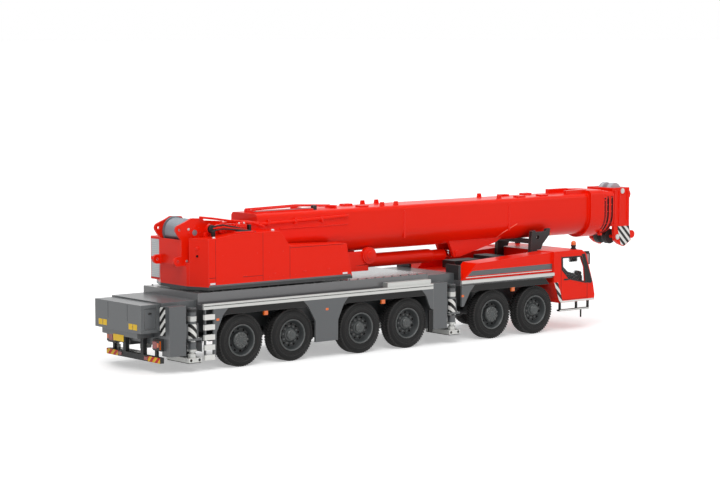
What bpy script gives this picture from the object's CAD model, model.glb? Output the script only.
import math

import bmesh
import bpy
from mathutils import Matrix, Vector


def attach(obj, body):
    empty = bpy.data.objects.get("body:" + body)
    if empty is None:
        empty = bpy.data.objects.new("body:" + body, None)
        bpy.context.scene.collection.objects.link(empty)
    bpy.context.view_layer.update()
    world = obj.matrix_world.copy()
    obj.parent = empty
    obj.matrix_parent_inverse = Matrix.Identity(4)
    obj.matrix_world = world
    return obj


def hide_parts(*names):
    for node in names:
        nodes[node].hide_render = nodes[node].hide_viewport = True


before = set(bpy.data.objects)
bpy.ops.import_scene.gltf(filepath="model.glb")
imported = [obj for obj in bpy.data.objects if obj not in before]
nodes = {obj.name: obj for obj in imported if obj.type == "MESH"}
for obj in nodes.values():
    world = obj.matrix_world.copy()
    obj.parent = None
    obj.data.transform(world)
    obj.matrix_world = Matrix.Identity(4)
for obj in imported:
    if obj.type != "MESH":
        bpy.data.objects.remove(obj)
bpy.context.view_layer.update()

# Lengths are millimetres from the rear axle, as in the CAD source; at() turns a place into the shared frame
SHIFT = 125.95
AXLES = [0, 33, 79.3, 112.3, 175.1, 208.1]
TYRE_R, TYRE_W, RIM_R = 13.85, 7.6, 8.34
WHEEL_Y = 25.6
SIDES = (("right", -1), ("left", 1))
ENDS = (("rear", -45.6), ("front", 130.3))


def at(x, y, z):
    return Vector(((x - SHIFT) / 1000, y / 1000, z / 1000))


# Finishes


def srgb(*color):
    return tuple(c / 3294.6 if c <= 10 else ((c / 255 + 0.055) / 1.055) ** 2.4 for c in color) + (1,)


def add_sockets(tree, way, rows):
    for name, kind in rows:
        tree.interface.new_socket(name, in_out=way, socket_type="NodeSocket" + kind)


def feed(tree, value, socket):
    """Links a socket to an input, or sets the input to a plain value."""
    if isinstance(value, bpy.types.NodeSocket):
        tree.links.new(value, socket)
    else:
        socket.default_value = value


def calc(tree, operation, *terms):
    node = tree.nodes.new("ShaderNodeMath")
    node.operation = operation
    for term, socket in zip(terms, node.inputs):
        feed(tree, term, socket)
    return node.outputs[0]


def tint(tree, factor, first, second):
    node = tree.nodes.new("ShaderNodeMix")
    node.data_type = "RGBA"
    for value, socket in ((factor, node.inputs["Factor"]), (first, node.inputs[6]), (second, node.inputs[7])):
        feed(tree, value, socket)
    return node.outputs[2]


def paint_film():
    """A coat of paint: a cloudy tint, edges worn pale, uneven gloss and a fine grain."""
    tree = bpy.data.node_groups.new("paint_film", "ShaderNodeTree")
    add_sockets(tree, "INPUT", (("Color", "Color"), ("Roughness", "Float"), ("Grain Scale", "Float"),
                                ("Edge Wear", "Float"), ("Cloud", "Float")))
    add_sockets(tree, "OUTPUT", (("Color", "Color"), ("Roughness", "Float"), ("Grain", "Float")))
    given, out = tree.nodes.new("NodeGroupInput"), tree.nodes.new("NodeGroupOutput")
    place = tree.nodes.new("ShaderNodeTexCoord")
    grain, cloud = tree.nodes.new("ShaderNodeTexNoise"), tree.nodes.new("ShaderNodeTexNoise")
    for noise, scale, detail in ((grain, given.outputs["Grain Scale"], 3), (cloud, 45, 5)):
        feed(tree, place.outputs["Object"], noise.inputs["Vector"])
        feed(tree, scale, noise.inputs["Scale"])
        feed(tree, detail, noise.inputs["Detail"])
    swing = calc(tree, "SUBTRACT", cloud.outputs["Fac"], 0.5)
    swing = calc(tree, "MULTIPLY", swing, given.outputs["Cloud"])
    shade = tree.nodes.new("ShaderNodeHueSaturation")
    feed(tree, given.outputs["Color"], shade.inputs["Color"])
    feed(tree, calc(tree, "ADD", swing, 1), shade.inputs["Value"])
    # An edge is where the rounded normal leaves the face's own
    face, rounded = tree.nodes.new("ShaderNodeNewGeometry"), tree.nodes.new("ShaderNodeBevel")
    rounded.samples = 4
    rounded.inputs["Radius"].default_value = 0.00025
    same = tree.nodes.new("ShaderNodeVectorMath")
    same.operation = "DOT_PRODUCT"
    feed(tree, face.outputs["Normal"], same.inputs[0])
    feed(tree, rounded.outputs["Normal"], same.inputs[1])
    edge = tree.nodes.new("ShaderNodeMapRange")
    feed(tree, same.outputs["Value"], edge.inputs["Value"])
    edge.inputs["From Min"].default_value, edge.inputs["From Max"].default_value = 0.99, 0.8
    worn = calc(tree, "MULTIPLY", edge.outputs["Result"], given.outputs["Edge Wear"])
    feed(tree, tint(tree, worn, shade.outputs["Color"], (0.75, 0.72, 0.7, 1)), out.inputs["Color"])
    feed(tree, calc(tree, "MULTIPLY_ADD", swing, 0.8, given.outputs["Roughness"]), out.inputs["Roughness"])
    feed(tree, grain.outputs["Fac"], out.inputs["Grain"])
    return tree


PAINT_FILM = paint_film()


def banded(tree, color, bands, stripes):
    """bands are (axis, low, high, colour) in millimetres; stripes are (direction, period, second colour)."""
    place, apart = tree.nodes.new("ShaderNodeTexCoord"), tree.nodes.new("ShaderNodeSeparateXYZ")
    feed(tree, place.outputs["Object"], apart.inputs[0])
    for axis, low, high, second in bands:
        move = SHIFT if axis == "X" else 0
        over = calc(tree, "GREATER_THAN", apart.outputs[axis], (low - move) / 1000)
        under = calc(tree, "LESS_THAN", apart.outputs[axis], (high - move) / 1000)
        color = tint(tree, calc(tree, "MULTIPLY", over, under), color, second)
    for way, period, second in stripes:
        along = tree.nodes.new("ShaderNodeVectorMath")
        along.operation = "DOT_PRODUCT"
        feed(tree, place.outputs["Object"], along.inputs[0])
        along.inputs[1].default_value = tuple(c * 1000 / period for c in way)
        part = calc(tree, "FRACT", along.outputs["Value"])
        color = tint(tree, calc(tree, "GREATER_THAN", part, 0.5), color, second)
    return color


def finish(name, color, rough=0.4, metal=0.0, coat=0.0, shine=0.3, grain=1500, bump=0.04, wear=0.0,
           cloud=0.06, bands=(), stripes=()):
    m = bpy.data.materials.new(name)
    m.use_nodes = True
    tree = m.node_tree
    shader = tree.nodes["Principled BSDF"]
    film = tree.nodes.new("ShaderNodeGroup")
    film.node_tree = PAINT_FILM
    feed(tree, banded(tree, color, bands, stripes) if bands or stripes else color, film.inputs["Color"])
    for key, value in (("Roughness", rough), ("Grain Scale", grain), ("Edge Wear", wear), ("Cloud", cloud)):
        film.inputs[key].default_value = value
    relief = tree.nodes.new("ShaderNodeBump")
    relief.inputs["Strength"].default_value = bump
    relief.inputs["Distance"].default_value = 0.0002
    feed(tree, film.outputs["Grain"], relief.inputs["Height"])
    for key, value in (("Base Color", film.outputs["Color"]), ("Roughness", film.outputs["Roughness"]),
                       ("Normal", relief.outputs["Normal"]), ("Metallic", metal), ("Coat Weight", coat),
                       ("Coat Roughness", 0.12), ("Specular IOR Level", shine)):
        feed(tree, value, shader.inputs[key])
    return m


RED, GREY, BLACK = srgb(246, 34, 8), srgb(88, 91, 93), srgb(24, 24, 24)
WHITE = srgb(236, 236, 232)
LACQUER = dict(rough=0.3, coat=0.1, shine=0.1, grain=1400, bump=0.02, wear=0.12, cloud=0.05)

red = finish("red_lacquer", RED, **LACQUER)
red_upper = finish("red_lacquer_grey_foot", RED, bands=[("Z", 30, 42.12, srgb(74, 75, 76))], **LACQUER)
seam_red = finish("seam_shadow_red", srgb(148, 12, 8), 0.5)
edge_red = finish("rubbed_edge_red", srgb(255, 108, 86), 0.3, wear=0.2, cloud=0.1)
grey = finish("grey_paint", GREY, 0.34, coat=0.2, shine=0.5, grain=1200, bump=0.04, wear=0.22, cloud=0.1)
dark = finish("dark_paint", srgb(48, 49, 50), 0.5, grain=1200, bump=0.05, wear=0.25, cloud=0.12)
deck_mat = finish("deck_tread", srgb(92, 92, 94), 0.26, coat=0.6, shine=0.7, grain=2600, bump=0.1, wear=0.3,
                  cloud=0.14)
plastic = finish("black_plastic", BLACK, 0.55, grain=3000, bump=0.12, wear=0.15, cloud=0.12)
alloy = finish("bare_alloy", srgb(200, 201, 198), 0.38, metal=0.6, wear=0.1, cloud=0.1)
white = finish("white_paint", WHITE, 0.4, grain=1200, bump=0.03)
rubber = finish("tyre_rubber", srgb(31, 31, 31), 0.6, shine=0.2, grain=2400, bump=0.25, wear=0.12, cloud=0.2)
rim_mat = finish("rim_paint", srgb(76, 80, 80), 0.4, coat=0.15, wear=0.35, cloud=0.1)
rim_dark = finish("rim_dish_shade", srgb(46, 49, 50), 0.5, wear=0.2, cloud=0.1)
hole = finish("shadowed_hole", srgb(14, 14, 14), 0.8, shine=0.1)
rope_mat = finish("wire_rope", srgb(140, 145, 152), 0.4, metal=0.5, grain=5000, bump=0.4, cloud=0.25)
chrome = finish("rod_chrome", srgb(205, 206, 208), 0.14, metal=1.0, bump=0.01)
amber = finish("amber_lens", srgb(240, 108, 22), 0.2, coat=0.8, grain=2500, bump=0.15)
lamp_red = finish("red_lens", srgb(150, 12, 16), 0.2, coat=0.8, grain=2500, bump=0.15)
lamp_white = finish("clear_lens", srgb(232, 234, 236), 0.15, coat=0.8, grain=2500, bump=0.15)
yellow = finish("plate_yellow", srgb(240, 196, 40), 0.4)
cooler = finish("cooler_alloy", srgb(186, 190, 196), 0.45, metal=0.3, wear=0.1, cloud=0.12)
hatch_side = finish("chevron_side", WHITE, stripes=[((0.7, 0, 0.7), 3.2, BLACK)])
hatch_rear = finish("chevron_rear", WHITE, stripes=[((0, 0.7, 0.7), 3.2, BLACK)])
hatch_bar = finish("chevron_bar", srgb(240, 190, 30), stripes=[((0, 0.7, 0.7), 3.4, srgb(205, 20, 14))])


def window_glass():
    """Clear panes with a faint uneven tint."""
    m = bpy.data.materials.new("window_glass")
    m.use_nodes = True
    tree = m.node_tree
    shader = tree.nodes["Principled BSDF"]
    for key, value in (("Roughness", 0.02), ("Transmission Weight", 0.96), ("Alpha", 0.2), ("IOR", 1.2)):
        shader.inputs[key].default_value = value
    place, cloud = tree.nodes.new("ShaderNodeTexCoord"), tree.nodes.new("ShaderNodeTexNoise")
    shade = tree.nodes.new("ShaderNodeValToRGB")
    cloud.inputs["Scale"].default_value = 60
    for end, color in zip(shade.color_ramp.elements, (srgb(240, 246, 247), srgb(250, 252, 252))):
        end.color = color
    feed(tree, place.outputs["Object"], cloud.inputs["Vector"])
    feed(tree, cloud.outputs["Fac"], shade.inputs["Fac"])
    feed(tree, shade.outputs["Color"], shader.inputs["Base Color"])
    return m


glass = window_glass()

DRESS = {
    "machine_housing crane_cab boom_base tele_1 tele_2 tele_3 tele_4 boom_head": red,
    "cylinder_barrel engine_cover driver_cab": red,
    "turntable": red_upper,
    "chassis_frame outrigger_boxes stowage_box side_panels": grey,
    "axle_beams underrun_bar deck_equipment": dark,
    "deck": deck_mat, "sill_edges": alloy, "cylinder_rod": chrome, "winch_drum": rope_mat,
    "mudguards cab_fittings": plastic,
    "cab_glass crane_cab_glass": glass,
    "lamps": amber,
}
for end, _ in ENDS:
    for side, _ in SIDES:
        DRESS[f"beam_{end}_{side}"] = grey
        DRESS[f"foot_{end}_{side}"] = alloy
for i in range(1, len(AXLES) + 1):
    for side, _ in SIDES:
        DRESS[f"knuckle_{i}_{side}"] = dark
for names, material in DRESS.items():
    for name in names.split():
        data = nodes[name].data
        data.materials.clear()
        data.materials.append(material)

# Pieces made in mesh code

BOX_FACES = [(0, 1, 3, 2), (4, 6, 7, 5), (0, 4, 5, 1), (2, 3, 7, 6), (0, 2, 6, 4), (1, 5, 7, 3)]


def soften(data, degrees=38):
    """Smooth shading that stays crisp at the edges."""
    data.polygons.foreach_set("use_smooth", [True] * len(data.polygons))
    data.set_sharp_from_angle(angle=math.radians(degrees))


def place_piece(name, data, body):
    o = bpy.data.objects.new(name, data)
    bpy.context.collection.objects.link(o)
    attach(o, body)
    return o


# The half round under the boom: height of its middle, radius on the base and on the base's collar
BELLY_Z = 64.3
BASE_R, BASE_COLLAR_R = 11.7, 13.7


def belly(r, angle):
    """Across and up from that middle: the left side at no angle, the lowest point at a quarter turn."""
    return r * math.cos(angle), -r * math.sin(angle)


class Piece:
    """Gathers shapes into one mesh that rides on one body."""

    def __init__(self, name, body, slot):
        self.name, self.body, self.slot = name, body, slot
        self.bm, self.materials = bmesh.new(), []

    def take(self, part, material):
        if material not in self.materials:
            self.materials.append(material)
        k = self.materials.index(material)
        for f in part.faces:
            f.material_index = k
        data = bpy.data.meshes.new("part")
        part.to_mesh(data)
        part.free()
        self.bm.from_mesh(data)
        bpy.data.meshes.remove(data)

    def solid(self, points, faces, material, bevel=0.0):
        part = bmesh.new()
        corners = [part.verts.new(at(*p)) for p in points]
        for f in faces:
            part.faces.new([corners[i] for i in f])
        bmesh.ops.recalc_face_normals(part, faces=part.faces[:])
        if bevel:
            bmesh.ops.bevel(part, geom=part.edges[:], offset=bevel / 1000, segments=1, affect="EDGES")
        self.take(part, material)

    def box(self, x, y, z, material, bevel=0.12):
        corners = [(a, b, c) for a in sorted(x) for b in sorted(y) for c in sorted(z)]
        thin = min(abs(r[1] - r[0]) for r in (x, y, z))
        self.solid(corners, BOX_FACES, material, min(bevel, thin * 0.3))

    def plate(self, outline, y, material, bevel=0.0):
        """An outline in X and Z, as thick as the range y."""
        n = len(outline)
        points = [(a, b, c) for b in y for a, c in outline]
        faces = [tuple(range(n)), tuple(range(n, 2 * n))]
        faces += [(k, (k + 1) % n, n + (k + 1) % n, n + k) for k in range(n)]
        self.solid(points, faces, material, bevel)

    def frame(self, outline, inner, outer, y, material):
        """A closed band round an outline in X and Z; inner and outer scale it about its middle."""
        n = len(outline)
        mid = [sum(c) / n for c in zip(*outline)]
        points = [(mid[0] + k * (a - mid[0]), b, mid[1] + k * (c - mid[1]))
                  for b in y for k in (inner, outer) for a, c in outline]
        faces = []
        for a, b in ((0, n), (n, 3 * n), (3 * n, 2 * n), (2 * n, 0)):
            faces += [(a + k, a + (k + 1) % n, b + (k + 1) % n, b + k) for k in range(n)]
        self.solid(points, faces, material)

    def skin(self, rows, seg, material):
        """rows are (centre, direction, radius); the rings are skinned and both ends closed."""
        points = []
        for centre, d, r in rows:
            side = d.cross(Vector((0, 0, 1)) if abs(d.z) < 0.9 else Vector((0, 1, 0))).normalized()
            up = side.cross(d)
            points += [tuple(centre + r * (math.cos(t) * side + math.sin(t) * up))
                       for t in (2 * math.pi * j / seg for j in range(seg))]
        last = len(points) - seg
        faces = [tuple(range(seg)), tuple(range(last, last + seg))]
        faces += [(k + j, k + (j + 1) % seg, k + seg + (j + 1) % seg, k + seg + j)
                  for k in range(0, last, seg) for j in range(seg)]
        self.solid(points, faces, material)

    def tube(self, path, r, material, seg=8):
        pts = [Vector(p) for p in path]
        ends = [(pts[max(k - 1, 0)], pts[min(k + 1, len(pts) - 1)]) for k in range(len(pts))]
        self.skin([(p, (b - a).normalized(), r) for p, (a, b) in zip(pts, ends)], seg, material)

    def lathe(self, centre, axis, profile, material, seg=24):
        """profile is (radius, distance along the axis)."""
        d = Vector(axis).normalized()
        self.skin([(Vector(centre) + d * h, d, r) for r, h in profile], seg, material)

    def hoop(self, x, half, height, material, top=75.0, steps=24):
        """A band round the boom's belly and up both sides of a section that is 2 * half wide."""
        arc = [belly(1, math.pi * k / steps) for k in range(steps + 1)]
        points = []
        for a in x:
            for r in (half - 0.1, half + height):
                points += [(a, r, top)] + [(a, r * c, BELLY_Z + r * d) for c, d in arc] + [(a, -r, top)]
        n = steps + 3
        faces = [(k, n + k, 3 * n + k, 2 * n + k) for k in (0, n - 1)]
        for a, b in ((0, n), (n, 3 * n), (3 * n, 2 * n), (2 * n, 0)):
            faces += [(a + k, a + k + 1, b + k + 1, b + k) for k in range(n - 1)]
        self.solid(points, faces, material)

    def bolt(self, centre, axis, r, h, material):
        self.lathe(centre, axis, [(r, -0.2), (r, h * 0.7), (r * 0.7, h)], material, seg=6)

    def bolt_ring(self, centre, v, radius, count, r, h, material, turn=0.0):
        """Bolt heads round an axis across the crane; v is the side that they face."""
        x, y, z = centre
        for k in range(count):
            a = turn + 2 * math.pi * k / count
            self.bolt((x + radius * math.cos(a), y, z + radius * math.sin(a)), (0, v, 0), r, h, material)

    def done(self):
        data = bpy.data.meshes.new(self.name)
        self.bm.to_mesh(data)
        self.bm.free()
        for m in self.materials:
            data.materials.append(m)
        soften(data)
        place_piece(self.name, data, self.body)


# Geometry Nodes for what repeats


def new_tree(name, inputs):
    tree = bpy.data.node_groups.new(name, "GeometryNodeTree")
    add_sockets(tree, "INPUT", (("Geometry", "Geometry"),) + inputs + (("Material", "Material"),))
    add_sockets(tree, "OUTPUT", (("Geometry", "Geometry"),))
    return tree, tree.nodes.new("NodeGroupInput").outputs


def close_tree(tree, geometry, given):
    """Realizes what the tree made and gives it its material."""
    real, shade = tree.nodes.new("GeometryNodeRealizeInstances"), tree.nodes.new("GeometryNodeSetMaterial")
    out = tree.nodes.new("NodeGroupOutput")
    feed(tree, geometry, real.inputs[0])
    feed(tree, real.outputs[0], shade.inputs["Geometry"])
    feed(tree, given["Material"], shade.inputs["Material"])
    feed(tree, shade.outputs[0], out.inputs[0])
    return tree


def set_blocks(tree, points, given, turn=None):
    source, put = tree.nodes.new("GeometryNodeObjectInfo"), tree.nodes.new("GeometryNodeInstanceOnPoints")
    feed(tree, given["Block"], source.inputs["Object"])
    feed(tree, points, put.inputs["Points"])
    feed(tree, source.outputs["Geometry"], put.inputs["Instance"])
    if turn is not None:
        feed(tree, turn, put.inputs["Rotation"])
    return close_tree(tree, put.outputs[0], given)


def row_tree():
    """A block on each point of the mesh that carries the tree."""
    tree, given = new_tree("row_of_blocks", (("Block", "Object"),))
    return set_blocks(tree, given["Geometry"], given)


def ring_tree():
    """A block set round a circle, each one turned outward."""
    tree, given = new_tree("ring_of_blocks", (("Block", "Object"), ("Count", "Int"), ("Radius", "Float"),
                                              ("Turn", "Float")))
    circle, spin = tree.nodes.new("GeometryNodeMeshCircle"), tree.nodes.new("GeometryNodeTransform")
    way = tree.nodes.new("ShaderNodeCombineXYZ")
    feed(tree, given["Count"], circle.inputs["Vertices"])
    feed(tree, given["Radius"], circle.inputs["Radius"])
    feed(tree, given["Turn"], way.inputs["Z"])
    feed(tree, way.outputs[0], spin.inputs["Rotation"])
    feed(tree, circle.outputs[0], spin.inputs["Geometry"])
    aim = tree.nodes.new("FunctionNodeAlignRotationToVector")
    where = tree.nodes.new("GeometryNodeInputPosition")
    aim.axis, aim.pivot_axis = "X", "Z"
    feed(tree, where.outputs[0], aim.inputs["Vector"])
    return set_blocks(tree, spin.outputs[0], given, aim.outputs[0])


def rope_tree():
    """Rope wound side by side on a drum whose axis lies along Y."""
    tree, given = new_tree("wound_rope", (("Turns", "Float"), ("Coil Radius", "Float"), ("Width", "Float"),
                                          ("Rope Radius", "Float"), ("Start", "Vector")))
    coil = tree.nodes.new("GeometryNodeCurveSpiral")
    round_ = tree.nodes.new("GeometryNodeCurvePrimitiveCircle")
    for key, value in (("Resolution", 40), ("Rotations", given["Turns"]), ("Height", given["Width"]),
                       ("Start Radius", given["Coil Radius"]), ("End Radius", given["Coil Radius"])):
        feed(tree, value, coil.inputs[key])
    round_.inputs["Resolution"].default_value = 8
    feed(tree, given["Rope Radius"], round_.inputs["Radius"])
    lay, skin = tree.nodes.new("GeometryNodeTransform"), tree.nodes.new("GeometryNodeCurveToMesh")
    lay.inputs["Rotation"].default_value = (-math.pi / 2, 0, 0)
    feed(tree, given["Start"], lay.inputs["Translation"])
    feed(tree, coil.outputs[0], lay.inputs["Geometry"])
    feed(tree, lay.outputs[0], skin.inputs["Curve"])
    feed(tree, round_.outputs[0], skin.inputs["Profile Curve"])
    skin.inputs["Fill Caps"].default_value = True
    return close_tree(tree, skin.outputs[0], given)


ROW, RING, ROPE = row_tree(), ring_tree(), rope_tree()


def grow(tree, points=(), **values):
    """Runs a tree and returns its plain mesh; a value's name is its input's name with _ for a space."""
    data = bpy.data.meshes.new("seed")
    data.from_pydata([tuple(p) for p in points], [], [])
    seed = bpy.data.objects.new("seed", data)
    bpy.context.collection.objects.link(seed)
    step = seed.modifiers.new(tree.name, "NODES")
    step.node_group = tree
    keys = {s.name: s.identifier for s in tree.interface.items_tree if s.in_out == "INPUT"}
    for name, value in values.items():
        step[keys[name.replace("_", " ")]] = value
    made = bpy.data.meshes.new_from_object(seed.evaluated_get(bpy.context.evaluated_depsgraph_get()))
    seed.modifiers.clear()
    bpy.data.objects.remove(seed)
    bpy.data.meshes.remove(data)
    return made


BLOCKS = []


def block(points, faces, lift=0.0):
    """A small shape in millimetres that the trees repeat; it is taken away before the end."""
    data = bpy.data.meshes.new("block")
    data.from_pydata([(x / 1000, y / 1000, (z + lift) / 1000) for x, y, z in points], [], faces)
    o = bpy.data.objects.new("block", data)
    bpy.context.collection.objects.link(o)
    BLOCKS.append(o)
    return o


def lug_block(length, wide, high, skew):
    """A tread lug: X is outward, Y round the tyre and Z across it."""
    points = []
    for x, taper in ((-0.5, 1.0), (high, 0.82)):
        y, z = length / 2 * taper, wide / 2
        points += [(x, -y - skew, -z), (x, y - skew, -z), (x, y + skew, z), (x, -y + skew, z)]
    return points, [(3, 2, 1, 0), (4, 5, 6, 7), (0, 1, 5, 4), (1, 2, 6, 5), (2, 3, 7, 6), (3, 0, 4, 7)]


def disc_block(r, h, seg):
    points = [(r * math.cos(2 * math.pi * k / seg), r * math.sin(2 * math.pi * k / seg), z)
              for z in (-0.3, h) for k in range(seg)]
    faces = [tuple(range(seg - 1, -1, -1)), tuple(range(seg, 2 * seg))]
    faces += [(k, (k + 1) % seg, seg + (k + 1) % seg, seg + k) for k in range(seg)]
    return points, faces


def bar_block(x, y, z):
    points = [(a, b, c) for a in (-x / 2, x / 2) for b in (-y / 2, y / 2) for c in (-z / 2, z / 2)]
    return points, BOX_FACES


def row(name, body, shape, points, material):
    place_piece(name, grow(ROW, [at(*p) for p in points], Block=block(*shape), Material=material), body)


def turned_mesh(profile, seg, closed, bands):
    """A turned shape about Z; bands are (first ring, material), and a closed profile has no poles."""
    bm = bmesh.new()
    angles = [2 * math.pi * j / seg for j in range(seg)]
    rings = [[bm.verts.new((r / 1000 * math.cos(a), r / 1000 * math.sin(a), z / 1000)) for a in angles]
             for r, z in profile]
    pairs = list(zip(rings, rings[1:])) + ([(rings[-1], rings[0])] if closed else [])
    for k, (a, b) in enumerate(pairs):
        slot = sum(k >= first for first, _ in bands) - 1
        for j in range(seg):
            bm.faces.new((a[j], a[(j + 1) % seg], b[(j + 1) % seg], b[j])).material_index = slot
    if not closed:
        bm.faces.new(rings[0])
        bm.faces.new(rings[-1]).material_index = len(bands) - 1
    bmesh.ops.recalc_face_normals(bm, faces=bm.faces[:])
    data = bpy.data.meshes.new("turned")
    bm.to_mesh(data)
    bm.free()
    for _, m in bands:
        data.materials.append(m)
    return data


def join_meshes(name, parts):
    bm, materials = bmesh.new(), []
    for data in parts:
        first = len(bm.faces)
        bm.from_mesh(data)
        bm.faces.ensure_lookup_table()
        for f in bm.faces[first:]:
            m = data.materials[f.material_index]
            if m not in materials:
                materials.append(m)
            f.material_index = materials.index(m)
    joined = bpy.data.meshes.new(name)
    bm.to_mesh(joined)
    bm.free()
    for m in materials:
        joined.materials.append(m)
    soften(joined)
    return joined


# Wheels: turned tyre and rim, with rings of lugs, nuts and vent holes

HALF = TYRE_W / 2
CROWN_R, SHOULDER_R, LUGS = 13.62, 13.4, 58
tyre_profile = [
    (8.35, -HALF + 0.5), (9.2, -HALF), (10.6, -HALF), (11.9, -HALF + 0.15), (13.0, -HALF + 0.75),
    (13.55, -HALF + 1.75), (CROWN_R, 0), (13.55, HALF - 1.75), (13.0, HALF - 0.75), (11.9, HALF - 0.15),
    (11.2, HALF), (11.0, HALF - 0.16), (10.5, HALF - 0.16), (10.3, HALF), (9.2, HALF), (8.8, HALF - 0.12),
    (8.35, HALF - 0.5),
]
FACE_Z = HALF - 0.1
DISH_Z = FACE_Z - 2.6
rim_profile = [
    (0.02, -FACE_Z + 0.6), (3.1, -FACE_Z + 0.6), (3.1, DISH_Z - 1), (7.6, DISH_Z - 1), (7.6, -FACE_Z),
    (RIM_R, -FACE_Z), (RIM_R, FACE_Z), (7.9, FACE_Z), (7.6, FACE_Z - 0.3), (6.95, DISH_Z + 1.2),
    (6.2, DISH_Z), (4.0, DISH_Z), (3.4, DISH_Z + 0.5),
]
crown_lug = [block(*lug_block(0.95, 2.5, 0.21, -0.2 * z), lift=z) for z in (-1.75, 1.75)]
middle_lug = block(*lug_block(0.7, 0.7, 0.21, 0.15))
shoulder_lug = [block(*lug_block(0.95, 0.9, 0.18, 0), lift=z) for z in (-HALF + 1.3, HALF - 1.3)]


def ring(shape, count, radius, material, turn=0.0):
    return grow(RING, Block=shape, Count=count, Radius=radius / 1000, Turn=turn, Material=material)


def wheel_mesh(drive):
    """The hub of a drive axle is wide and stepped, the other is slim."""
    pitch = 2 * math.pi / LUGS
    hub_r, top = (4.3, FACE_Z - 0.5) if drive else (2.9, FACE_Z - 0.35)
    hub = [(hub_r, DISH_Z + 0.7), (hub_r, top - 0.5), (hub_r - 0.5, top), (1.7, top), (1.6, top + 0.3),
           (0.02, top + 0.35)]
    nut = block(*disc_block(0.5, 0.5, 6), lift=top if drive else DISH_Z)
    vent = block(*disc_block(0.7, 0.05, 14), lift=DISH_Z + 0.02)
    parts = [
        turned_mesh(tyre_profile, 72, True, [(0, rubber)]),
        ring(crown_lug[0], LUGS, CROWN_R, rubber),
        ring(crown_lug[1], LUGS, CROWN_R, rubber, pitch / 2),
        ring(middle_lug, LUGS, CROWN_R, rubber, pitch / 4),
        ring(shoulder_lug[0], LUGS, SHOULDER_R, rubber),
        ring(shoulder_lug[1], LUGS, SHOULDER_R, rubber, pitch / 2),
        turned_mesh(rim_profile + hub, 64, False, [(0, rim_mat), (8, rim_dark), (12, rim_mat)]),
        ring(nut, 10, 3.6 if drive else 4.6, rim_mat, 0.3),
        ring(vent, 10, 5.75, hole),
    ]
    if drive:
        parts.append(ring(block(*disc_block(0.3, 0.3, 6), lift=top), 12, 2.4, rim_mat))
    return join_meshes("wheel", parts)


DRIVE_AXLES = (0, 4)
wheels = {drive: wheel_mesh(drive) for drive in (True, False)}
for i, x in enumerate(AXLES):
    for side, v in SIDES:
        data = wheels[i in DRIVE_AXLES].copy()
        turn = Matrix.Rotation(math.radians(-90 * v), 4, "X") @ Matrix.Rotation(0.37 * i + 0.2 * v, 4, "Z")
        data.transform(Matrix.Translation(at(x, v * WHEEL_Y, TYRE_R)) @ turn)
        o = place_piece(f"tyre_and_rim_{i + 1}_{side}", data, f"wheel_{i + 1}_{side}")
        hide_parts(f"wheel_{i + 1}_{side}")

# Carrier trim

CAB_Y = 29.6
HOOD_Y = 28.0
PANEL_Y = 30.0


def proud(v, face, height, depth=0.1):
    """The range from a little inside a side face to a little outside it."""
    return (v * (face - depth), v * (face + height))


SIDE_WINDOW = [(229.5, 42.4), (229.8, 35.5), (235.0, 30.3), (247.8, 27.5), (247.0, 36.3), (244.2, 42.4)]
WINDOW_LEDGE = [
    (230.4, 34.8), (235.3, 29.9), (247.6, 27.2), (247.5, 31.2), (243.0, 32.2), (235.8, 34.0), (230.8, 38.2),
]
STEER_X, STEER_Y, STEER_Z, STEER_R = 242.4, 15, 31.2, 3.2

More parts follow.
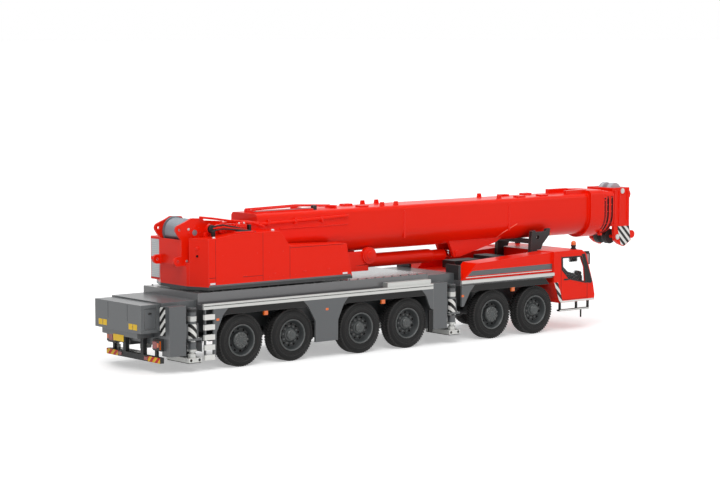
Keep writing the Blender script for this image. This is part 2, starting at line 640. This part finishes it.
trim = Piece("carrier_trim", "carrier", "dark_paint")
for v in (-1, 1):
    # Driver's cab: door seams, handle, line along the foot
    thin = proud(v, CAB_Y, 0.06)
    trim.box((228.3, 228.6), thin, (19.6, 43.6), seam_red, 0.02)
    trim.box((228.3, 249.6), thin, (17.9, 18.15), seam_red, 0.02)
    trim.box((249.4, 249.7), thin, (17.9, 26.8), seam_red, 0.02)
    trim.box((230.6, 234.4), proud(v, CAB_Y, 0.35), (29.4, 30.3), plastic, 0.2)
    trim.box((227.8, 255.0), proud(v, CAB_Y, 0.1), (16.5, 17.5), white, 0.02)
    # Window seal, dark pillar, step tread, foot of the beacon
    trim.frame(SIDE_WINDOW, 0.985, 1.1, proud(v, CAB_Y, 0.2), plastic)
    trim.plate([(244.9, 43.8), (247.4, 44.2), (253.6, 27.6), (252.6, 26.4), (248.7, 27.0), (247.7, 36.3)],
               proud(v, CAB_Y, 0.12), plastic)
    trim.box((227.5, 250.9), proud(v, CAB_Y, 0.1), (11.5, 12.25), alloy, 0.05)
    trim.lathe((243.6, v * 24, 46.4), (0, 0, 1),
               [(1.7, -0.1), (1.7, 0.5), (1.28, 0.8), (1.28, 1.6), (1.6, 1.9), (1.6, 2.5), (1.3, 2.6)],
               plastic)
    # Inside the window: ledge with the door pull, mirror on its stem
    trim.plate(WINDOW_LEDGE, (v * 26.0, v * 27.4), plastic)
    trim.lathe((244.6, v * 26.6, 32.4), (1, 0, -0.2), [(0.9, -2.2), (1.6, -1.6), (1.6, 1.6), (0.9, 2.2)],
               plastic, 14)
    trim.box((238.2, 244.4), (v * 25.6, v * 26.8), (39.4, 42.6), plastic, 0.6)
    trim.box((240.8, 241.8), (v * 25.9, v * 26.5), (42.4, 45.6), plastic, 0.1)
    # Chevron at the cab's rear edge
    trim.plate([(227.4, 16.6), (229.9, 16.6), (225.8, 28.6), (222.9, 28.6)], proud(v, CAB_Y, 0.12),
               hatch_side)
    # Hood: grey band with a light line under it
    trim.plate([(157.3, 36.5), (160.7, 39.3), (222.5, 39.6), (222.5, 36.5)], proud(v, HOOD_Y, 0.12), grey)
    trim.plate([(156.0, 35.5), (156.4, 35.95), (222.5, 35.95), (222.5, 35.5)], proud(v, HOOD_Y, 0.14), white)
    trim.box((160.2, 160.4), proud(v, HOOD_Y, 0.1), (34.6, 39.0), seam_red, 0.02)
    # Sill bead, lamps of the side panels
    trim.box((-24.4, 130.2), (v * 29.9, v * PANEL_Y), (33.1, 33.5), dark, 0.02)
    for x in (-15.7, 55.6, 152.0):
        trim.box((x - 0.9, x + 0.9), proud(v, PANEL_Y, 0.05), (25.4, 26.6), amber, 0.02)
    # Tail: cover plate, striped board, hatch with its latch, lamps, stripes on the bar, blank plates
    trim.box((-25.8, -25.2), (v * 22.6, v * 29.7), (10.2, 17.4), grey)
    trim.box((-45.95, -45.5), (v * 21.7, v * 26.2), (19.4, 34.0), hatch_rear, 0.05)
    trim.box((-54.6, -48.2), (v * 20.6, v * 20.9), (23.4, 32.8), grey, 0.2)
    trim.box((-52.4, -50.4), (v * 20.8, v * 21.25), (30.4, 31.4), plastic, 0.15)
    trim.box((-48.3, -47.9), (v * 18.2, v * 24.4), (12.3, 16.9), dark, 0.1)
    trim.box((-48.4, -48.2), (v * 18.6, v * 22.2), (12.8, 16.4), lamp_red, 0.05)
    trim.box((-48.4, -48.2), (v * 22.5, v * 24.0), (13.6, 15.8), amber, 0.05)
    trim.box((-48.25, -48.0), (v * 14.0, v * 24.8), (5.5, 8.3), hatch_bar, 0.05)
    trim.box((-48.3, -48.1), (v * 10.5, v * 13.8), (6.0, 7.8), lamp_red, 0.05)
    for k in (0, 1):
        trim.box((-57.3, -57.0), (v * (10.2 + 4.1 * k), v * (13.8 + 4.1 * k)), (22.4, 25.4), yellow, 0.05)
    # Headlamp lens, mirror glass
    trim.box((256.2, 256.38), (v * 16.4, v * 23.6), (17.3, 19.1), lamp_white, 0.03)
    trim.box((250.8, 250.95), (v * 26.9, v * 29.3), (38.1, 43.7), lamp_white, 0.03)
# Dash top, visor rail inside the screen, steering wheel on its column with the instrument hood
trim.box((243.4, 250.4), (-23.6, 8.6), (25.6, 28.6), plastic, 0.6)
trim.box((246.6, 247.4), (-23, -12), (41.0, 43.0), plastic, 0.2)
trim.box((245.0, 249.0), (9, 21), (25.8, 29.0), plastic, 0.5)
trim.tube([(245.4, STEER_Y, 28.6), (242.3, STEER_Y, 31.3)], 0.45, plastic)
trim.tube([(STEER_X, STEER_Y + v * STEER_R, STEER_Z) for v in (-1, 1)], 0.35, plastic)
trim.tube([(STEER_X + 2.1 * math.sin(a), STEER_Y + STEER_R * math.cos(a), STEER_Z + 2.4 * math.sin(a))
           for a in (2 * math.pi * k / 24 for k in range(25))], 0.4, plastic)
# Blank plate on its holder, dark seams in the tail
trim.box((-56.5, -56.1), (-4.0, 5.5), (15.2, 18.6), yellow, 0.05)
trim.box((-56.25, -55.4), (-4.4, 5.9), (14.8, 18.2), dark, 0.1)
for y in (-9, 9):
    trim.box((-57.24, -57.0), (y - 0.1, y + 0.1), (26.4, 35.0), hole, 0.02)
trim.done()

row("ladder_treads", "carrier", bar_block(6.4, 1.5, 2.7),
    [(-20.7, v * 29.3, 6.8 + 5.2 * k) for k in range(5) for v in (-1, 1)], white)
row("nose_grille", "carrier", bar_block(1.1, 26, 0.5),
    [(254.95, 0, 20.0 + 1.4 * k) for k in range(4)], plastic)
row("deck_bolts", "carrier", disc_block(0.45, 0.4, 6),
    [(x, v * 23.4, 39.6) for x in range(-20, 130, 6) for v in (-1, 1)], dark)
row("deck_tread", "carrier", bar_block(1.7, 0.35, 0.5),
    [(2.1 * k - 23 + (j % 2), v * (25.9 + 1.25 * j), 33.9)
     for k in range(57) for j in range(3) for v in (-1, 1)], deck_mat)

# Outrigger jacks and feet

JACK_Y = 27.1
OUTRIGGER_BOX = 21
for end, box_x in ENDS:
    for side, v in SIDES:
        x = box_x + OUTRIGGER_BOX * (0.75 if v < 0 else 0.25)
        t = Piece(f"jack_trim_{end}_{side}", f"beam_{end}_{side}", "grey_paint")
        for z, material, profile in (
            (15.6, hatch_side, [(2.3, 0), (2.42, 0.1), (2.42, 9.0), (2.3, 9.1)]),
            (26.0, alloy, [(2.3, 0), (2.5, 0.1), (2.5, 2.6), (2.3, 2.7)]),
            (30.8, dark, [(2.3, 0), (2.6, 0.2), (2.6, 1.5), (2.3, 1.8)]),
            (10.5, alloy, [(2.3, 0), (2.55, 0.1), (2.55, 1.0), (2.3, 1.2)]),
        ):
            t.lathe((x, v * JACK_Y, z), (0, 0, 1), profile, material)
        for k in (-1, 1):
            t.bolt((x + k * 3, v * 28.6, 17.3), (0, 0, 1), 0.5, 0.4, alloy)
        t.done()
        t = Piece(f"foot_trim_{end}_{side}", f"foot_{end}_{side}", "black_plastic")
        for k in (-1, 1):
            t.lathe((x + k * 2.6, v * 30, 6.2), (0, v, 0), [(0.75, -0.4), (0.75, 0.0)], hole, 12)
        t.box((x - 4.0, x + 4.0), (v * 10.2, v * 29.8), (4.6, 5.05), plastic, 0.1)
        t.done()

# Superstructure

UPPER_Y = 24.0
DRUM_X, DRUM_Z = -16, 69.4
CHEEK_Y = 10.2
t = Piece("upper_trim", "upper", "red_paint")
right = proud(-1, UPPER_Y, 0.05)
for x, top in ((17.7, 68.6), (35.4, 60.8), (-12.6, 66.6)):
    t.box((x - 0.1, x + 0.1), right, (43.2, top), seam_red, 0.02)
t.box((-16.6, -12.7), right, (46.6, 46.9), seam_red, 0.02)
t.box((4.6, 17.6), right, (46.0, 46.25), seam_red, 0.02)
t.box((35.6, 71.6), right, (59.4, 59.65), seam_red, 0.02)
t.box((-16.8, 76.6), proud(-1, UPPER_Y, 0.2), (42.1, 43.0), grey, 0.1)
for x in (5, 24, 44, 60):
    t.box((x, x + 2.2), proud(-1, UPPER_Y, 0.25), (46.4, 47.0), red, 0.12)
for x in (-14.5, 72.5):
    t.box((x - 1.6, x + 1.6), proud(-1, UPPER_Y, 0.3), (43.2, 44.2), lamp_white, 0.1)
for x in (-8, 14, 22, 31, 39, 70):
    for z in (45, 58):
        t.bolt((x, -UPPER_Y, z), (0, -1, 0), 0.28, 0.2, red)
for x, y, z in ((27.0, -20.0, 68.8), (-12.3, -22.0, 66.9)):
    t.lathe((x, y, z), (0, 0, 1), [(0.9, -0.2), (0.9, 0.6), (0.5, 0.9)], lamp_white, 14)
# Winch gear with its bolts, motor, valve block, pipes and hoses
t.lathe((-2, -15.7, 71.4), (0, -1, 0), [(2.9, -0.9), (2.9, 0.3), (1.6, 0.5), (1.5, 1.2), (0.9, 1.4)], red)
t.bolt_ring((-2, -16.0, 71.4), -1, 2.3, 8, 0.32, 0.3, red)
t.lathe((-9, -14.9, 71.2), (0, -1, 0), [(2.2, -0.1), (2.2, 1.6), (1.4, 2.0)], plastic)
t.lathe((-9, -16.8, 69.4), (0, 0, 1), [(1.1, -2.0), (1.1, 1.0), (0.7, 1.2)], plastic, 14)
t.box((6, 13), (-16.6, -13.8), (69.6, 73.0), red, 0.25)
for k in range(4):
    x = 7 + 1.6 * k
    t.lathe((x, -15.2, 73.0), (0, 0, 1), [(0.5, -0.1), (0.5, 0.7), (0.3, 0.9)], (red, alloy)[k % 2], 10)
    t.bolt((x, -16.6, 71.4), (0, -1, 0), 0.4, 0.5, red)
t.tube([(-14, -11.6, 77.4), (-6, -12.6, 76.4), (4, -13.4, 74.8), (14, -13.9, 74.0), (22, -14.0, 72.8)],
       0.6, red)
t.tube([(2, -14.6, 71.4), (10, -14.9, 73.6), (18, -14.6, 73.2), (26, -14.2, 70.6)], 0.5, red)
for k in range(3):
    t.tube([(-9, -16.4 - 0.4 * k, 72.6 - k), (-3, -16.9 - 0.5 * k, 73.2 - k),
            (6, -17.0 - 0.6 * k, 71.4 - 0.6 * k), (13, -16.8 - 0.9 * k, 69.6), (17, -16.6 - k, 68.6)],
           0.36, (plastic, red, plastic)[k])
t.box((14.5, 16.0), (-16.2, -14.0), (68.6, 72.4), plastic, 0.2)
# On both sides: bolts round the drum, pin ends, corner bolts, pins of the boom and of the luffing cylinder
for v in (-1, 1):
    t.bolt_ring((DRUM_X, v * CHEEK_Y, DRUM_Z), v, 3.4, 8, 0.3, 0.3, red)
    for x, z in ((-19.9, 71.3), (-21.1, 54.9)):
        t.lathe((x, v * CHEEK_Y, z), (0, v, 0), [(0.75, -0.6), (0.75, 0.15), (0.5, 0.25)], alloy, 14)
    t.bolt((-20.0, v * 18.0, 62), (-0.91, v * 0.42, 0), 0.9, 0.8, red)
    t.bolt((-20.0, v * 18.0, 58), (-0.91, v * 0.42, 0), 0.6, 0.5, hole)
    t.lathe((15, v * 13.6, 65.5), (0, v, 0), [(2.6, -0.1), (2.6, 0.6), (1.8, 0.9), (1.6, 1.2)], alloy)
    t.lathe((100.5, v * 10.8, 50.5), (0, v, 0),
            [(3.6, -0.1), (3.6, 0.3), (2.2, 0.5), (2.2, 0.9), (1.2, 1.1)], red)
# Hatch with a dark inlay on the housing roof, ribs on the winch box
t.box((2, 14), (-22, -17.6), (68.7, 69.6), red, 0.3)
t.box((4, 12), (-21.4, -18.2), (69.5, 69.9), plastic, 0.15)
for z in (57, 60, 63):
    t.box((-24.45, -24.2), (-7.5, 7.5), (z, z + 1.4), red, 0.1)
# Cooler set across the rear left corner
t.solid([(x, y, z) for z in (43.2, 66.0) for x, y in ((-21.3, 13.4), (-21.3, 23.0), (-17.4, 23.0))],
        [(0, 1, 2), (3, 5, 4), (0, 3, 4, 1), (1, 4, 5, 2), (2, 5, 3, 0)], red, 0.15)
for low, high in ((44.4, 53.6), (55.2, 64.6)):
    t.box((-21.5, -21.2), (14.3, 22.3), (low, high), cooler, 0.1)
    for k in range(9):
        z = low + 0.6 + (high - low - 1.2) * k / 8
        t.box((-21.6, -21.4), (14.7, 21.9), (z - 0.16, z + 0.16), alloy, 0.04)
t.done()

ROPE_SPAN = 15.4
rope = grow(ROPE, Turns=28.0, Coil_Radius=0.0066, Width=ROPE_SPAN / 1000, Rope_Radius=0.00028,
            Start=tuple(at(DRUM_X, -ROPE_SPAN / 2, DRUM_Z)), Material=rope_mat)
soften(rope, 60)
place_piece("rope_on_drum", rope, "winch")

# Operator's cab: door seals, handle, light line, grab rail

t = Piece("operator_cab_trim", "operator_cab", "black_plastic")
for x, low, high in ((36.4, 50.0, 63.4), (49.4, 49.8, 63.2)):
    t.box((x, x + 0.5), (24.9, 25.12), (low, high), plastic, 0.05)
t.box((51, 54), (24.9, 25.5), (48.0, 48.8), plastic, 0.2)
t.box((37, 68), (24.9, 25.06), (46.0, 46.5), white, 0.02)
t.tube([(56.5, 24.4, 65.4), (60, 25.5, 65.4), (64, 25.6, 63.2), (68.4, 25.5, 57), (68.2, 24.4, 53.4)],
       0.35, alloy)
t.done()

# Boom: side pipes with clips, rubbed edge on the belly, collar bolts, cable tray, pipes on the top, lamp

TOP = 77.2
# Course of the rubbed edge: distance along the boom, degrees down the round
RUBBED_EDGE = ((198, 82), (198.5, 52), (201, 34), (205, 22), (210, 10))
t = Piece("boom_trim", "boom", "red_paint")
for v in (-1, 1):
    t.tube([(24, v * 12.2, 71.8), (50, v * 12.2, 72.5), (84, v * 12.2, 73.4)], 0.85, red, 12)
    t.tube([(38, v * 11.9, 68.6), (84, v * 11.9, 68.9)], 0.35, red)
    for x in (30, 48, 66):
        t.box((x - 0.6, x + 0.6), (v * 11.6, v * 13.2), (70.8, 73.9), red, 0.15)
    edge = [(x, *belly(BASE_R + 0.05, math.radians(a))) for x, a in RUBBED_EDGE]
    t.tube([(x, v * y, BELLY_Z + z) for x, y, z in edge], 0.3, edge_red)
    y, z = belly(BASE_COLLAR_R, math.radians(27))
    for k in range(3):
        t.bolt((270 + 3.3 * k, v * y, BELLY_Z + z), (0, v * y, z), 0.32, 0.3, red)
t.box((25.2, 62.8), (-8.4, -5.6), (TOP + 0.9, TOP + 1.15), grey, 0.1)
for y in (-3.0, 3.0):
    t.tube([(26, y, TOP + 1.6), (60, y + 0.5, TOP + 2.2), (84, y + 0.9, TOP + 1.0)], 0.5, red)
for x in (27, 58, 82):
    t.box((x - 0.6, x + 0.6), (-4.2, 4.8), (TOP - 0.2, TOP + 1.4), red, 0.15)
t.box((64.5, 67.0), (-6.6, -4.2), (TOP - 0.2, TOP + 2.4), dark, 0.2)
t.box((236.4, 238.4), (-10.4, -9.0), (54.0, 55.6), amber, 0.2)
t.box((236.7, 238.1), (-10.1, -9.2), (55.4, 58.4), red, 0.1)
t.done()

# Collars of the telescopic sections: flange bands, slots, bolts and lock lugs

# Front end of each collar, half its width, width of its slot
COLLARS = ((281.7, 13.1, 0.3), (284.7, 12.7, 1.0), (288.5, 12.3, 0.9))
for k, (front, half_w, slot_w) in enumerate(COLLARS, 1):
    t = Piece(f"collar_trim_{k}", f"section_{k}", "red_paint")
    t.hoop((front - 0.8, front - 0.2), half_w, 0.22, red)
    t.hoop((front - 1.6 - slot_w, front - 0.8), half_w, 0.05, seam_red)
    t.hoop((front - 0.9 - slot_w, front - 0.9), half_w, 0.08, hole, 74.0)
    for v in (-1, 1):
        for z in (66, 70, 74):
            t.bolt((front - 2.1, v * half_w, z), (0, v, 0), 0.34, 0.3, red)
        for angle in (0.45, 0.9):
            y, z = belly(half_w, angle)
            t.bolt((front - 2.1, v * y, BELLY_Z + z), (0, v * y, z), 0.34, 0.3, red)
        # Lugs for the pins that lock the first section
        lugs = ((half_w + 0.6, 72.6, 75.2), (10.4, 51.6, 55.4)) if k == 1 else ()
        for y, low, high in lugs:
            t.box((front - 2.8, front - 0.9), (v * (y - 2.6), v * y), (low, high), red, 0.3)
            t.bolt((front - 1.9, v * y, (low + high) / 2), (0, v, 0), 0.6, 0.15, hole)
    t.done()

# Luffing cylinder: gland and wiper over the rod

t = Piece("barrel_trim", "cylinder", "red_paint")
t.lathe((151.9, 0, 46.5), (1, 0, 0), [(3.4, -0.1), (3.4, 1.6), (3.2, 1.9), (3.2, 11.0), (2.6, 11.6)],
        red, 28)
t.done()

# Boom head: chevrons, bolts, pins and sheave rims

HEAD_Y = 10.9
# Middle of each pair of sheaves and their radius
SHEAVES = ((296.9, 77.6, 4.62), (292.9, 50.0, 4.42))
t = Piece("head_trim", "section_4", "red_paint")
for v in (-1, 1):
    t.plate([(293.0, 56.3), (296.0, 45.4), (298.8, 44.4), (304.3, 47.6), (302.9, 56.3)],
            proud(v, HEAD_Y, 0.15, 0.05), hatch_side)
    for x, z in ((291, 77.6), (301, 77.6), (291, 59), (301, 59)):
        t.bolt((x, v * HEAD_Y, z), (0, v, 0), 0.5, 0.45, red)
    for x, z, r in SHEAVES:
        t.lathe((x, v * HEAD_Y, z), (0, v, 0), [(1.6, -0.1), (1.6, 0.5), (1.0, 0.8)], alloy, 16)
        t.lathe((x, v * 3.5, z), (0, v, 0), [(r, -1.56), (r + 0.05, -1.3), (r + 0.05, 1.3), (r, 1.56)],
                cooler if z > 60 else dark, 32)
t.done()

for o in BLOCKS:
    bpy.data.objects.remove(o)

# Floor, light, camera

FLOOR_HALF = 40
floor_bm = bmesh.new()
floor_bm.faces.new([floor_bm.verts.new((a * FLOOR_HALF, b * FLOOR_HALF, 0))
                    for a, b in ((-1, -1), (1, -1), (1, 1), (-1, 1))])
floor_data = bpy.data.meshes.new("floor")
floor_bm.to_mesh(floor_data)
floor_bm.free()
floor = bpy.data.objects.new("floor", floor_data)
bpy.context.collection.objects.link(floor)


def seen_directly(tree):
    """1 for rays that show the backdrop, straight, in a gloss or through glass; 0 for rays that light."""
    path = tree.nodes.new("ShaderNodeLightPath")
    total = calc(tree, "ADD", path.outputs["Is Camera Ray"], path.outputs["Is Glossy Ray"])
    return calc(tree, "MINIMUM", calc(tree, "ADD", total, path.outputs["Is Transmission Ray"]), 1)


def paper():
    """Pale paper that is white far from the lamps and keeps the shadow near the crane."""
    m = bpy.data.materials.new("paper")
    m.use_nodes = True
    tree = m.node_tree
    shader = tree.nodes["Principled BSDF"]
    for key, value in (("Base Color", (0.86, 0.86, 0.86, 1)), ("Roughness", 0.7), ("Specular IOR Level", 0.2),
                       ("Emission Color", (1, 1, 1, 1))):
        shader.inputs[key].default_value = value
    place, far = tree.nodes.new("ShaderNodeTexCoord"), tree.nodes.new("ShaderNodeVectorMath")
    reach = tree.nodes.new("ShaderNodeMapRange")
    far.operation = "LENGTH"
    feed(tree, place.outputs["Object"], far.inputs[0])
    feed(tree, far.outputs["Value"], reach.inputs["Value"])
    for key, value in (("From Min", 0.25), ("From Max", 1.2), ("To Min", 0.4), ("To Max", 0.7)):
        reach.inputs[key].default_value = value
    glow = calc(tree, "MULTIPLY", reach.outputs["Result"], seen_directly(tree))
    feed(tree, glow, shader.inputs["Emission Strength"])
    return m


floor_data.materials.append(paper())

world = bpy.data.worlds.new("studio")
bpy.context.scene.world = world
world.use_nodes = True
sky = world.node_tree.nodes["Background"]
sky.inputs["Color"].default_value = (1, 1, 1, 1)
level = world.node_tree.nodes.new("ShaderNodeMapRange")
level.inputs["To Min"].default_value = 0.32
feed(world.node_tree, seen_directly(world.node_tree), level.inputs["Value"])
feed(world.node_tree, level.outputs["Result"], sky.inputs["Strength"])


def softbox(name, where, aim, size, power):
    light = bpy.data.lights.new(name, "AREA")
    light.shape, light.energy = "RECTANGLE", power
    light.size, light.size_y = size
    o = bpy.data.objects.new(name, light)
    bpy.context.collection.objects.link(o)
    o.location = where
    o.rotation_euler = (Vector(aim) - Vector(where)).to_track_quat("-Z", "Y").to_euler()


softbox("key", (-0.7, -0.9, 1.3), (0, 0, 0.03), (0.9, 0.7), 12)
softbox("top", (0.1, 0.1, 1.5), (0, 0, 0), (1.6, 1.2), 9)
softbox("fill", (1.3, -0.9, 0.6), (0, 0, 0.04), (0.8, 0.8), 2)

CAMERA_AT, CAMERA_AIM = (-0.81615, -0.9805, 0.1724), (-0.02361, 0, 0.0579)
CAMERA_LENS = 114.17
cam = bpy.data.objects.new("camera", bpy.data.cameras.new("camera"))
bpy.context.collection.objects.link(cam)
cam.location = CAMERA_AT
look = Vector(CAMERA_AIM) - cam.location
cam.rotation_euler = look.to_track_quat("-Z", "Y").to_euler()
cam.data.sensor_width = 36
cam.data.lens = CAMERA_LENS
cam.data.clip_start, cam.data.clip_end = 0.01, 100
bpy.context.scene.camera = cam
bpy.context.scene.view_settings.view_transform = "Standard"
